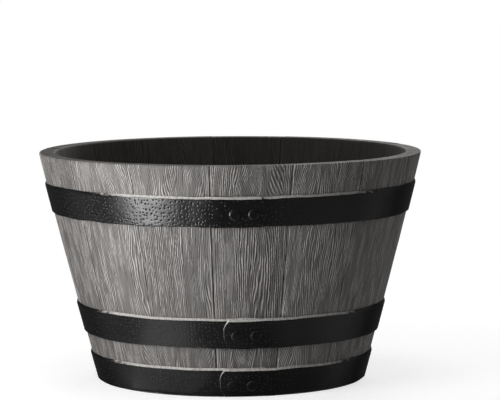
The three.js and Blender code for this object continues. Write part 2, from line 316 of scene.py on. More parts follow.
def useGroup(tree, group, shader, bumpStrength, bumpDistance, **inputs):
    node = addNode(tree, "ShaderNodeGroup", {"node_tree": group})
    for key, value in inputs.items():
        label = "Fibre Height" if key == "fibreHeight" else key.capitalize()
        feed(tree, node.inputs[label], value)
    tree.links.new(node.outputs["Color"], shader.inputs["Base Color"])
    tree.links.new(node.outputs["Roughness"], shader.inputs["Roughness"])
    values = {"Height": node.outputs["Height"], "Strength": bumpStrength, "Distance": bumpDistance}
    tree.links.new(addNode(tree, "ShaderNodeBump", None, **values).outputs[0], shader.inputs["Normal"])
    return node


def field(tree, name):
    return addNode(tree, "ShaderNodeAttribute", {"attribute_name": name})


woods = {
    "weatheredWood": {  # a stave's back
        "groove": (0.045, 0.042, 0.040), "wood": (0.178, 0.170, 0.164), "ridge": (0.640, 0.617, 0.598),
        "stain": (0.125, 0.114, 0.107), "bump": 0.55, "gloss": 0.08,
    },
    "shadedInnerWood": {  # a stave's inside and edges, near black: darker wood, darkened further as painted shade of the tub's hollow and the joints
        "groove": (0.012, 0.010, 0.009), "wood": (0.027, 0.024, 0.022), "ridge": (0.052, 0.046, 0.042),
        "stain": (0.014, 0.012, 0.011), "bump": 0.5, "gloss": 0.12,
    },
    "endWood": {  # sawn ends
        "groove": (0.036, 0.032, 0.029), "wood": (0.084, 0.077, 0.071), "ridge": (0.145, 0.135, 0.126),
        "stain": (0.030, 0.026, 0.023), "bump": 0.6, "gloss": 0.03,
    },
}
woodMaterials = {}
for name, look in woods.items():
    woodMaterials[name], tree, shader = newMaterial(name, look["gloss"])
    useGroup(
        tree, woodGrain, shader, look["bump"], 0.25 * mm,
        place=field(tree, "woodPlace").outputs["Vector"], grain=field(tree, "grain").outputs["Fac"],
        grime=field(tree, "grime").outputs["Fac"], groove=look["groove"], wood=look["wood"],
        ridge=look["ridge"], stain=look["stain"], fibreHeight=1.0,
    )

stave = {
    "columns": 172,
    "edgeColumns": (0, 0.12, 0.4, 0.8, 1.3),  # finer over the rounded joints, in millimetres from the edge
    "usualWidth": 90 * mm,  # which those are set against
    "rowHeight": 2.0 * mm,
    "layers": 5,  # through the thickness
    "rimUneven": 0.25 * mm,
    "edgeRounding": 1.6 * mm,  # along the joints, outside
    "innerRounding": 0.5 * mm,
    "rimRounding": 2.0 * mm,
    "footBevel": 3.0 * mm,
    "grooveLow": 28.2 * mm,  # where the head sits
    "grooveHigh": 37.8 * mm,
    "grooveDepth": 6.0 * mm,
    "grooveLip": 0.4 * mm,
    "sawMarks": 0.12 * mm,  # on the top
    # The grain, in millimetres across a stave and along it
    "linePitch": 2.4,  # between raised lines
    "drifts": (  # how far the lines stray, over what width and length, and what is added to the seed
        (4.6, 44, 95, 0),
        (1.38, 15.4, 38, 1),
        (0.75, 3.6, 12, 2),
        (0.1875, 2.4, 4, 5),
    ),
    "lean": 0.38,  # how far the lines lean between the hoops
    "leanWidth": 30,
    "leans": ((279, 232, 252), (51, 96, 74)),  # middle of a band, and where behind a hoop its lean starts
    "arches": {  # how many, their middles, half width and half length, and how many lines each lifts
        "count": (1, 4), "across": (-34, 34), "along": (10, 290), "width": (7, 12), "length": (30, 60),
        "lines": (2.5, 4),
    },
    "clear": (0.12, 0.5),  # lines that lie further apart than usual fade away
    "ridge": {"rise": (0.5, 0.95), "least": 0.28, "breaks": (2.6, 19)},
    # the groove line sits a little right of each ridge, on its shaded side: dirt in the grain, and a painted
    # shadow line
    "groove": {"rise": (0.55, 1.0), "least": 0.15, "breaks": (2.6, 24), "place": 0.42},
    "flat": 0.4,  # the level between a ridge and a groove
    "reliefDepth": 0.85,
    "smoother": {2: 0.8, 3: 0.6, 11: 0.5, 12: 0.6, 13: 0.85},  # these staves' share of that depth
    "swell": (0.25, 26, 70),  # depth of the surface's unevenness, and its width and length
    "fuzz": (0.1, 1.6, 9),
    "insideDepth": 0.14,
    "insideSwell": (0.12, 30, 6),
    "openness": {0: 1.7, 1: 1.5, 2: 1.2, 13: 1.3, 3: 0.6, 6: 0.45, 9: 0.6, 11: 0.5, 14: 0.2},
    "usualOpenness": 1.1,  # of the joints not named above
    "paleEdgeHighlight": 0.65,  # beside an open joint: weathered edge, and a painted highlight of the joint's lit flank
    "jointGrime": 1.1,
    # darkness of the painted shadow band just below each hoop
    "belowHoopShade": 0.5,
    "toneStep": 0.10,  # how far a stave's tone is from the others'
}


def grainTurns(u, v, seed):  # how many lines a point is from the stave's middle
    rng = np.random.default_rng(seed)
    drift = 0
    for stray, wide, tall, offset in stave["drifts"]:
        drift = drift + stray * noise(u / wide, v / tall, seed + offset)
    leaning = stave["lean"] * noise(u / stave["leanWidth"], 0 * v + 300, seed + 15)
    for middle, still, full in stave["leans"]:
        drift = drift + leaning * (v - middle) * smoothStep(still, full, v)
    turn = (u + drift) / stave["linePitch"]
    arch = stave["arches"]
    for _ in range(rng.integers(*arch["count"])):  # where the saw met a curved growth ring
        across, along = rng.uniform(*arch["across"]), rng.uniform(*arch["along"])
        width, length = rng.uniform(*arch["width"]), rng.uniform(*arch["length"])
        bulge = np.exp(-(((u - across) / width) ** 2 + ((v - along) / length) ** 2) / 2)
        turn = turn + rng.uniform(*arch["lines"]) * bulge
    return turn


def brokenLine(line, turn, u, v, seed, patch):  # a wave's crest, which comes and goes along its length
    wide, tall = line["breaks"]
    crest = smoothStep(*line["rise"], 0.5 + 0.5 * np.cos(2 * math.pi * turn))
    unbroken = smoothStep(-0.6, 0.5, noise(u / wide, v / tall, seed) + patch)
    return crest * (line["least"] + (1 - line["least"]) * unbroken)


def grainLines(u, v, seed):  # u across and v along a stave in millimetres; 1 on a raised line, 0 in a groove
    turn = grainTurns(u, v, seed)
    density = np.abs(grainTurns(u + 0.5, v, seed) - turn) / 0.5 * stave["linePitch"]
    clear = smoothStep(*stave["clear"], density)
    patch = 0.4 * noise(u / 30, v / 90, seed + 4)
    ridge = brokenLine(stave["ridge"], turn, u, v, seed + 3, patch)
    # the dark groove beside each ridge is partly dirt and partly a painted shadow line on the ridge's shaded
    # side
    groove = brokenLine(stave["groove"], turn - stave["groove"]["place"], u, v, seed + 6, patch)
    return stave["flat"] + ((1 - stave["flat"]) * ridge - stave["flat"] * groove) * clear


def sheetOf(firstRange, secondRange, build, flip):  # a block's side: its faces and their places on the map
    a, b = np.meshgrid(firstRange, secondRange, indexing="ij")
    keys = build(a, b)
    quads = np.stack([keys[:-1, :-1], keys[1:, :-1], keys[1:, 1:], keys[:-1, 1:]], -1).reshape(-1, 4)
    spots = np.stack([a, b], -1).astype(float) / [max(firstRange[-1], 1), max(secondRange[-1], 1)]
    corners = np.stack([spots[:-1, :-1], spots[1:, :-1], spots[1:, 1:], spots[:-1, 1:]], 2)
    corners = corners.reshape(-1, 4, 2)
    if flip:
        quads, corners = quads[:, ::-1], corners[:, ::-1]
    return quads, corners


def roundedEdge(edgeAway, size):  # how far a rounded edge drops below the face
    gone = np.clip(size - edgeAway, 0, None) / size
    return size * (1 - np.sqrt(1 - gone ** 2))


def unevenness(look, u, v, seed):  # from 0 to the look's depth
    depth, wide, tall = look
    return depth * (0.5 + 0.5 * noise(u / wide, v / tall, seed))


def makeStave(index):
    seed = 100 + 17 * index
    joint = tub["firstJoint"] + index * jointAngle
    edge = np.array(stave["edgeColumns"]) * mm / stave["usualWidth"]
    middle = np.linspace(edge[-1], 1 - edge[-1], stave["columns"] - 2 * len(edge) + 3)
    across = np.concatenate([edge[:-1], middle, 1 - edge[-2::-1]])
    top = tub["height"] - stave["rimUneven"] * (1 + latticeValue(np.array([index]), np.array([0]), 5)[0])
    rounding = top - stave["rimRounding"] * (1 - np.sin(np.radians([0, 25, 50, 70, 90])))
    lip = stave["grooveLip"]
    fixed = [0, 0.4 * mm, stave["footBevel"], stave["grooveLow"] - lip, stave["grooveLow"],
             stave["grooveHigh"], stave["grooveHigh"] + lip, *rounding]
    even = np.arange(stave["rowHeight"], rounding[0], stave["rowHeight"])
    even = even[[min(abs(z - f) for f in fixed) > 0.4 * stave["rowHeight"] for z in even]]
    rows = np.sort(np.concatenate([fixed, even]))
    j, k, m = len(across) - 1, len(rows) - 1, stave["layers"]

    def key(a, b, c):
        return (a * (k + 1) + b) * (m + 1) + c

    acrossRange, rowRange, layerRange = np.arange(j + 1), np.arange(k + 1), np.arange(m + 1)
    sides = [  # faces, material, and the corner and size of the side's place on the map
        (sheetOf(acrossRange, rowRange, lambda a, b: key(a, b, 0), False), 0, (0.01, 0.01, 0.42, 0.98)),
        (sheetOf(acrossRange, rowRange, lambda a, b: key(a, b, m), True), 1, (0.45, 0.01, 0.36, 0.98)),
        (sheetOf(acrossRange, layerRange, lambda a, b: key(a, k, b), False), 2, (0.83, 0.52, 0.06, 0.47)),
        (sheetOf(acrossRange, layerRange, lambda a, b: key(a, 0, b), True), 2, (0.83, 0.01, 0.06, 0.47)),
        (sheetOf(rowRange, layerRange, lambda a, b: key(0, a, b), False), 1, (0.91, 0.01, 0.03, 0.98)),
        (sheetOf(rowRange, layerRange, lambda a, b: key(j, a, b), True), 1, (0.96, 0.01, 0.03, 0.98)),
    ]
    quads = np.concatenate([side[0][0] for side in sides])
    used, faces = np.unique(quads, return_inverse=True)
    faces = faces.reshape(-1, 4)
    uv = []
    for number, ((_, corners), _, (left, low, wide, tall)) in enumerate(sides):
        if number > 1:  # the ends and edges lie upright on the map
            corners = corners[..., ::-1]
        uv.append(np.array([left, low]) + corners * [wide, tall])
    uv = np.concatenate(uv)
    faceMaterial = np.concatenate([np.full(len(side[0][0]), side[1]) for side in sides])

    a, b, c = used // ((k + 1) * (m + 1)), used // (m + 1) % (k + 1), used % (m + 1)
    z, share, depth = rows[b], across[a], c / m
    back, inside = backRadius(z), backRadius(z) - levelWall
    rise = np.clip((z - rounding[0]) / stave["rimRounding"], 0, 1)
    rimDrop = stave["rimRounding"] * (1 - np.sqrt(np.clip(1 - rise ** 2, 0, 1)))
    back = back - rimDrop
    inside = inside + rimDrop + np.clip(stave["footBevel"] - z, 0, None)
    inGroove = (z >= stave["grooveLow"] - 1e-6) & (z <= stave["grooveHigh"] + 1e-6)
    inside = inside + stave["grooveDepth"] * inGroove
    radius = back * (1 - depth) + inside * depth

    span = jointAngle * radius - tub["jointGap"]
    u = (share - 0.5) * span / mm
    v = z / mm
    grain = grainLines(u, v, seed)
    edgeAway = np.minimum(share, 1 - share) * span
    joints = [(index + side) % tub["staveCount"] for side in (0, 1)]
    near, far = (stave["openness"].get(number, stave["usualOpenness"]) for number in joints)
    gaping = noise(v / 60, 0 * v + (index + (share > 0.5)), 77)
    openness = np.where(share < 0.5, near, far) * (0.85 + 0.35 * gaping)
    outside, within = c == 0, c == m
    relief = stave["reliefDepth"] * stave["smoother"].get(index, 1)
    carve = (1 - grain) * relief + unevenness(stave["swell"], u, v, seed + 7)
    carve = carve + unevenness(stave["fuzz"], u, v, seed + 8)
    carve = carve * smoothStep(0.0, 0.8, edgeAway / mm) * smoothStep(0, 4, (rounding[0] - z) / mm + 4)
    drop = roundedEdge(edgeAway, stave["edgeRounding"])
    drop = drop * openness * (0.95 + 0.2 * noise(v / 22, 0 * v + (share > 0.5), seed + 9))
    radius = radius - outside * (carve * mm + drop)
    hollow = (1 - grain) * stave["insideDepth"] + unevenness(stave["insideSwell"], u, v, seed + 11)
    onFace = (z > stave["grooveHigh"] + 2 * mm) | (z < stave["grooveLow"] - 2 * mm)
    radius = radius + within * (roundedEdge(edgeAway, stave["innerRounding"]) + hollow * mm * onFace)
    sawn = (b == k) * (depth > 0.01) * (depth < 0.99)
    z = z - sawn * stave["sawMarks"] * (1 + noise(u / 2.2, depth * 3, seed + 13))
    halfGap = np.arcsin(tub["jointGap"] / 2 / radius)
    points = place(joint + halfGap + share * (jointAngle - 2 * halfGap), radius, z)

    grime = np.exp(-((edgeAway / mm / 0.8) ** 2)) * stave["jointGrime"] * openness
    for hoopTop, width in hoopBands:  # the wood is darker in a band just below each hoop, a painted shadow under its lower edge
        belowHoop = np.exp(-np.abs(z - (hoopTop - width)) / (3 * mm)) * (z < hoopTop - width + 2 * mm)
        grime = np.maximum(grime, stave["belowHoopShade"] * belowHoop)
    # the inside of each stave is darker towards the bottom
    grime = np.maximum(grime, within * 0.5 * smoothStep(70 * mm, 30 * mm, z))
    tone = stave["toneStep"] * latticeValue(np.array([index]), np.array([3]), 9)[0]
    # a pale band on each side of an open joint: weathered wood, and a painted highlight of the rounded
    # edge's lit flank
    paleHighlight = stave["paleEdgeHighlight"] * openness * np.exp(-((edgeAway / mm - 2.0) / 0.7) ** 2)
    fields = {
        "grain": np.clip(np.maximum(grain, paleHighlight) + tone, 0, 1),
        "grime": np.clip(grime * (0.7 + 0.5 * noise(u / 6, v / 11, seed + 12)), 0, 1),
        "woodPlace": np.stack([u * mm + 0.37 * index, depth * tub["thickness"] / 2, z + 0.11 * index], -1),
    }
    number = f"{index + 1:02d}"
    materials = [woodMaterials[look] for look in ("weatheredWood", "shadedInnerWood", "endWood")]
    piece = makeMesh(f"stave{number}", points, [faces], materials, faceMaterial, fields, uv, 62)
    return finishPiece(piece, "weathered_wood", f"stave_{number}")


# "end" is the outer end's bearing and "worn" where the upper edge has lost its paint, in degrees, its
# paleness there partly painted top light;
# "winds" is 1 where the strap runs towards +X to reach its outer end
hoops = {
    "upper": {
        "top": 260.6 * mm, "width": 40.2 * mm, "end": 10.8, "winds": 1, "rivetDrop": 1.6 * mm,
        "worn": (-37, 46), "endWear": 0.45,
    },
    "lower": {
        "top": 104.2 * mm, "width": 40.2 * mm, "end": -2.9, "winds": -1, "rivetDrop": 1.6 * mm,
        "worn": (-50, 50), "endWear": 0.9,
    },
    "foot": {
        "top": 39.0 * mm, "width": 38.0 * mm, "end": -4.8, "winds": -1, "rivetDrop": 3.0 * mm,
        "worn": (-50, 50), "endWear": 1.0,
    },
}
hoopBands = [(hoop["top"], hoop["width"]) for hoop in hoops.values()]
strap = {
    "thickness": 2.0 * mm,
    "clearance": 0.3 * mm,
    "upperBevel": 3.2 * mm,
    "lowerBevel": 1.2 * mm,
    "edge": 0.6 * mm,  # what the bevels leave of the thickness
    "climb": 42 * mm,  # over which the outer end rises onto the inner one
    "climbLead": 2 * mm,
    "endDepth": 7 * mm,  # of the rounded outer end
    "endRounding": (0.9 * mm, 1.6 * mm),  # how deep and how long
    "steps": 1750,  # round the tub
    "endSteps": 26,
    "columns": 46,
    "pitSpacing": 5.0,  # in millimetres, as the other pit sizes are
    "pitRadius": (0.85, 1.2),
    "pitDepth": 1.05,
    "pitShare": 0.95,
    "pitStray": 0.33,  # of the spacing
    "rubbed": ((14, 30), (120, 90)),  # bearings between which the pits are faint
    "rubbedAway": 0.8,
    "hammer": 0.12,  # depth of the wide, shallow hammer marks
    "edgeWave": 1.3,
    "edgeWaveLength": 30,
    "mapRows": 6,
    "unwornShare": 0.15,  # of the wear, where the paint has held
    "backWear": 0.6,  # of the patches at the back
    "lowerEdgeWearAndLight": 0.56,
    "unevenWear": 0.2,
    "endRimWearAndGlint": 0.58,
    "bump": 0.6,
    "gloss": 0.055,
    "paint": (0.0020, 0.0021, 0.0022),
    # bare metal of the worn edges; its paleness on the up-facing upper bevel is also painted top light
    "bare": (0.62, 0.60, 0.58),
    "edgeOn": (0.3, 0.75, 0.0, 0.8),  # from where to where it is seen edge-on, and the roughness it gains
}
rivet = {
    "margin": 16.5 * mm,  # from the hoop's outer end to the first
    "spacing": 23.5 * mm,
    "headHeight": 2.4 * mm,
    "headRadius": 7 * mm,
    "sides": 48,
    # Radius and height in millimetres, from the tail's own end and then from the seat
    "tail": ((0.3, 0), (3.9, 0), (4.2, 0.1), (3.0, 1.4)),
    "shank": (3.0, 0),
    "head": (
        (6.6, 0.0), (6.95, 0.12), (7.0, 0.45), (6.85, 0.85), (6.4, 1.3), (5.7, 1.75), (5.0, 2.1),
        (4.2, 2.28), (3.0, 2.32), (1.8, 2.28), (0.7, 2.25),
    ),
    "dent": 0.13 * mm,
    "uneven": 0.015,
    # a pale ring round the head's rim: worn paint, and a painted highlight of the lit rim
    "wear": 0.58,
    "bump": 0.4,
    "bare": (0.20, 0.195, 0.19),
}

hoopPaint, tree, shader = newMaterial("hoopPaint", strap["gloss"])
useGroup(
    tree, wornPaint, shader, strap["bump"], 0.2 * mm,
    place=field(tree, "hoopPlace").outputs["Vector"], wear=field(tree, "wear").outputs["Fac"],
    pit=field(tree, "pit").outputs["Fac"], paint=strap["paint"], bare=strap["bare"],
)
# The paint's gloss dies away where it is seen edge-on
facing = addNode(tree, "ShaderNodeLayerWeight", None, Blend=0.5).outputs["Facing"]
satin = shader.inputs["Roughness"].links[0].from_socket
dull = calc(tree, "ADD", satin, remap(tree, facing, *strap["edgeOn"]))
tree.links.new(dull, shader.inputs["Roughness"])

rivetPaint, tree, shader = newMaterial("rivetPaint", strap["gloss"])
useGroup(
    tree, wornPaint, shader, rivet["bump"], 0.2 * mm,
    place=addNode(tree, "ShaderNodeTexCoord").outputs["Object"], wear=field(tree, "wear").outputs["Fac"],
    pit=0.0, paint=strap["paint"], bare=rivet["bare"],
)


def pits(s, w, stepS, stepW, seed):  # 1 at the bottom of a punched pit, 0 on the flat
    size, stray = strap["pitSpacing"], strap["pitStray"]
    small, large = strap["pitRadius"]
    cellS, cellW = np.floor(s / size), np.floor(w / size)
    deepest = np.zeros(np.broadcast(s, w).shape)
    for ds in (-1, 0, 1):
        for dw in (-1, 0, 1):
            cs, cw = cellS + ds, cellW + dw
            atS = (cs + 0.5 + stray * latticeValue(cs, cw, seed)) * size
            atW = (cw + 0.5 + stray * latticeValue(cs, cw, seed + 1)) * size
            atS, atW = np.round(atS / stepS) * stepS, np.round(atW / stepW) * stepW  # its bottom is a vertex
            pick = 0.5 + 0.5 * latticeValue(cs, cw, seed + 2)
            patch = strap["pitShare"] + 0.4 * noise(atS / 40, atW / 20, seed + 3)
            near = 1 - np.hypot(s - atS, w - atW) / (small + (large - small) * pick)
            depth = (0.45 + 0.55 * pick) * smoothStep(0, 1, near) * (pick < patch)
            deepest = np.maximum(deepest, depth)
    return deepest


def hoopProfile(half):  # heights across the strap, what the bevels cut off there, and the flat ones alone
    full = strap["thickness"] - strap["edge"]
    low = [(-half + strap["lowerBevel"] * t, full * (1 - t) ** 1.4) for t in (0, 0.3, 0.65, 1)]
    high = [(half - strap["upperBevel"] * t, full * (1 - t) ** 1.15) for t in (1, 0.82, 0.6, 0.4, 0.2, 0)]
    flat = np.linspace(low[-1][0], high[0][0], strap["columns"])[1:-1]
    w, cut = np.array([*low, *((height, 0) for height in flat), *high]).T
    return w, cut, flat


def makeHoop(name, hoop, seed):
    half = hoop["width"] / 2
    middle = hoop["top"] - half
    reach = backRadius(middle)
    total = 2 * math.pi + (2 * rivet["margin"] + rivet["spacing"]) / reach
    climbEnd = 2 * math.pi - strap["climbLead"] / reach
    climbStart = climbEnd - strap["climb"] / reach
    start = math.radians(hoop["end"]) - hoop["winds"] * total
    endRadius = (half ** 2 + strap["endDepth"] ** 2) / (2 * strap["endDepth"])
    endShares = np.sin(np.radians(np.linspace(90, 2, strap["endSteps"])))
    endDepths = endRadius - np.sqrt(endRadius ** 2 - (endShares * half) ** 2)
    straight = np.linspace(0, total - endDepths[0] / reach, strap["steps"])
    travel = np.concatenate([straight, total - endDepths[1:] / reach])
    share = np.concatenate([np.ones(len(straight)), endShares[1:]])
    w, cut, flat = hoopProfile(half)

    t, s = travel[:, None], travel[:, None] * reach / mm
    bearing = (np.degrees(start + hoop["winds"] * t) + 180) % 360 - 180
    lift = (strap["thickness"] + strap["clearance"]) * smoothStep(climbStart, climbEnd, t)
    wave = strap["edgeWave"] * mm / 2
    longWave = strap["edgeWaveLength"]
    highIn = wave * (1 + noise(s / longWave, 0, seed + 21) + 0.25 * noise(s / 9, 0, seed + 23))
    lowIn = wave * (1 + noise(s / longWave, 0, seed + 22) + 0.25 * noise(s / 9, 0, seed + 24))
    shift = np.where(w > 0, -highIn * (w / half) ** 2, lowIn * (w / half) ** 2)
    wNow = (w + shift) * share[:, None]
    fromLow = (w - (-half + strap["lowerBevel"])) / mm
    pit = pits(s, fromLow, straight[1] * reach / mm, (flat[1] - flat[0]) / mm, seed)
    pit = pit * smoothStep(0, 1 * mm, half - strap["upperBevel"] - w)
    pit = pit * smoothStep(0, 1 * mm, half - strap["lowerBevel"] + w)
    toEnd = (total - t) * reach
    onLap = smoothStep(0.5 * mm, 2.5 * mm, toEnd)
    for number in (0, 1):  # no pits under a rivet's head
        away = np.hypot(toEnd - rivet["margin"] - number * rivet["spacing"], wNow + hoop["rivetDrop"])
        pit = pit * smoothStep(rivet["headRadius"], rivet["headRadius"] + 1.5 * mm, away)
    rubbed = smoothStep(*strap["rubbed"][0], bearing) * smoothStep(*strap["rubbed"][1], bearing)
    pit = pit * (1 - strap["rubbedAway"] * rubbed)
    hammer = strap["hammer"] * (0.5 + 0.5 * noise(s / 13, wNow / mm / 11, seed + 5))
    depth = (pit * strap["pitDepth"] + hammer) * mm * onLap
    roundDepth, roundLength = strap["endRounding"]
    endCurve = endRadius - np.sqrt(np.clip(endRadius ** 2 - wNow ** 2, 0, None))
    endRound = roundDepth * (1 - smoothStep(0, roundLength, toEnd - endCurve))
    outer = strap["clearance"] + lift + strap["thickness"] - np.broadcast_to(cut, wNow.shape) - depth
    outer = np.maximum(outer - endRound, strap["clearance"] + lift + 0.5 * strap["edge"])
    innerW = np.concatenate([wNow[:, -1:], wNow[:, :1]], 1)
    inner = np.broadcast_to(strap["clearance"] + lift, innerW.shape)
    ringW, ringOff = np.concatenate([wNow, innerW], 1), np.concatenate([outer, inner], 1)
    radius, z = offTheBack(middle + ringW, ringOff)
    points = place(start + hoop["winds"] * t, radius, z)

    ring = ringW.shape[1]
    wornFrom, wornTo = hoop["worn"]
    worn = smoothStep(-18, 12, bearing - wornFrom) * smoothStep(-14, 14, wornTo - bearing)
    patches = smoothStep(-0.1, 0.6, noise(s / 60, 0, seed + 33)) * smoothStep(72, 95, np.abs(bearing))
    worn = np.maximum(worn, strap["backWear"] * patches)
    # the upper bevel shows pale bare metal: wear, and painted top light on that up-facing ledge
    intoBevel = np.clip((w - half) / strap["upperBevel"] + 1, 0, 1)
    wearAt = np.concatenate([np.where(intoBevel > 0.07, 0.8 + 0.2 * intoBevel, 0.0), [0.9, 0.1]])
    nearEnd = smoothStep(9 * mm, 5 * mm, toEnd)
    wear = wearAt * (strap["unwornShare"] + (1 - strap["unwornShare"]) * worn)
    wear = wear * (1 - nearEnd + hoop["endWear"] * nearEnd)
    # the lowest bevel turns partly pale: wear, and a painted line of bounce light along the lip under the
    # hoop
    wear = wear + strap["lowerEdgeWearAndLight"] * np.isin(np.arange(ring), (0, 1))
    wear = wear + strap["unevenWear"] * noise(s / 4.5, ringW / mm / 1.3, seed + 31)
    # a pale line along the outer end's rounded rim: wear, and a painted highlight along that raised edge
    rim = np.clip(1 - np.abs(toEnd - 1.0 * mm) / (1.2 * mm), 0, 1)
    rimWearAndGlint = strap["endRimWearAndGlint"] * hoop["endWear"] * rim * (ringW < half - strap["upperBevel"])
    fields = {
        "wear": np.clip(np.maximum(wear, rimWearAndGlint), 0, 1),
        "pit": np.concatenate([pit, np.zeros_like(inner)], 1),
        "hoopPlace": np.stack([np.broadcast_to(s, ringW.shape) * mm, ringW, 0 * ringW + 0.2 * seed], -1),
    }
    order = slice(None, None, hoop["winds"])  # so that the faces look outwards
    points = points[order].reshape(-1, 3)
    for label, values in fields.items():
        fields[label] = values[order].reshape(-1, *values.shape[2:])

    n = len(travel)
    ids = np.arange(n * ring).reshape(n, ring)
    nextIds = np.roll(ids, -1, 1)
    quads = np.stack([ids[:-1], ids[1:], nextIds[1:], nextIds[:-1]], -1).reshape(-1, 4)
    caps = [ids[:1], ids[-1:, ::-1]]

    # The map shows the strap in rows, one above the other
    rowLength = math.ceil((n - 1) / strap["mapRows"])
    station = np.arange(n - 1)
    mapRow, along = station // rowLength, (station % rowLength) / rowLength
    marks = np.concatenate([np.linspace(0, 0.66, ring - 2), [0.70, 0.96, 1.0]])
    u0 = 0.01 + 0.97 * along[:, None] + 0 * marks[:-1]
    u1 = u0 + 0.97 / rowLength
    v0, v1 = ((mapRow[:, None] + 0.02 + 0.94 * mark) / strap["mapRows"] for mark in (marks[:-1], marks[1:]))
    uv = np.stack([np.stack(pair, -1) for pair in ((u0, v0), (u1, v0), (u1, v1), (u0, v1))], 2)
    capUv = 0.985 + 0.01 * np.random.default_rng(4).random((2 * ring, 2))
    uv = np.concatenate([uv.reshape(-1, 2), capUv])
    piece = makeMesh(f"{name}Hoop", points, [quads, *caps], [hoopPaint], None, fields, uv, 50)
    return finishPiece(piece, "hoop_iron", f"hoop_{name}")


def makeRivet(name, number, seed):
    node = f"rivet_{name}_{number}"
    low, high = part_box(node)
    middle = (low + high) / 2
    bearing = math.atan2(middle.x, -middle.y)
    axis = Vector((math.sin(bearing), -math.cos(bearing), -backSlope(middle.z))).normalized()
    reach = [axis.dot(vertex.co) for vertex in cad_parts[node].data.vertices]
    seat = max(reach) - rivet["headHeight"]
    centre = middle + axis * (seat - axis.dot(middle))
    tailEnd = (min(reach) - seat) / mm
    tail = [(radius, tailEnd + height) for radius, height in rivet["tail"]]
    profile = np.array([*tail, rivet["shank"], *rivet["head"]]) * mm
    sides = rivet["sides"]
    turns = np.linspace(0, 2 * math.pi, sides, endpoint=False)
    side = axis.orthogonal().normalized()
    other = axis.cross(side)
    r, h = profile[:, :1], profile[:, 1:]
    dent = noise(np.cos(turns) * 1.9, np.sin(turns) * 1.9 + r / (3 * mm), seed) * (h > 1.2 * mm)
    r = r * (1 + rivet["uneven"] * noise(np.cos(turns) * 1.4, np.sin(turns) * 1.4, seed + 1) * (h > 0))
    points = np.array(centre) + (h - np.abs(rivet["dent"] * dent))[..., None] * np.array(axis)
    points = points + (r * np.cos(turns))[..., None] * np.array(side)
    points = points + (r * np.sin(turns))[..., None] * np.array(other)
    ids = np.arange(len(profile) * sides).reshape(-1, sides)
    nextIds = np.roll(ids, -1, 1)
    quads = np.stack([ids[:-1], nextIds[:-1], nextIds[1:], ids[1:]], -1).reshape(-1, 4)
    # the pale ring round the rim is wear and a painted highlight of the lit rim
    wear = rivet["wear"] * np.exp(-((h / mm - 1.0) / 0.55) ** 2) + 0 * turns
    piece = makeMesh(
        f"{name}Rivet{number}", points.reshape(-1, 3), [quads, ids[:1, ::-1], ids[-1:]], [rivetPaint],
        None, {"wear": wear.ravel()}, None, 55)
    return finishPiece(piece, "rivet_iron", node)


for index in range(tub["staveCount"]):
    makeStave(index)
print("staves: done")
for seed, (name, hoop) in enumerate(hoops.items(), 1):
    makeHoop(name, hoop, 40 * seed)
    for number in (1, 2):
        makeRivet(name, number, 300 + 10 * seed + number)
print("hoops and rivets: done")

head = {
    "boards": 5,
    "creased": math.radians(35),  # edges sharper than this are rounded, above the height topFrom
    "topFrom": 41 * mm,
    "undersideTo": 24.5 * mm,  # and every edge below this height
    "edgeRounding": 0.7 * mm,
    "grime": 0.6,  # beside the joints
    "grimeWidth": 1.5 * mm,
    "bump": 0.6,
    "gloss": 0.3,
    "ringBumps": (26, 26, 3.2),  # a metre, along the wood's place
    "rings": 16.0,
    "ringTone": (0.02, 0.5, 0.2, 0.75),
    "groove": (0.075, 0.060, 0.048),
    "wood": (0.165, 0.135, 0.108),
    "ridge": (0.225, 0.190, 0.155),
    "stain": (0.085, 0.066, 0.050),
}
headWood, tree, shader = newMaterial("headWood", head["gloss"])
spot = field(tree, "woodPlace").outputs["Vector"]
stretched = addNode(tree, "ShaderNodeMapping", None, Vector=spot, Scale=head["ringBumps"]).outputs[0]
values = {"Vector": stretched, "Scale": 1.0, "Detail": 2.0, "Roughness": 0.5, "Distortion": 0.6}
rings = addNode(tree, "ShaderNodeTexNoise", None, **values).outputs["Fac"]
rings = calc(tree, "PINGPONG", calc(tree, "FRACT", calc(tree, "MULTIPLY", rings, head["rings"])), 0.5)
useGroup(
    tree, woodGrain, shader, head["bump"], 0.3 * mm,
    place=spot, grain=remap(tree, rings, *head["ringTone"]), grime=field(tree, "grime").outputs["Fac"],
    groove=head["groove"], wood=head["wood"], ridge=head["ridge"], stain=head["stain"], fibreHeight=1.0,
)


def isRounded(edge):  # the creased edges of a board's top, and those of its underside
    heights = [corner.co.z for corner in edge.verts]
    isCreased = len(edge.link_faces) == 2 and edge.calc_face_angle(0) > head["creased"]
    return isCreased and min(heights) > head["topFrom"] or max(heights) < head["undersideTo"]


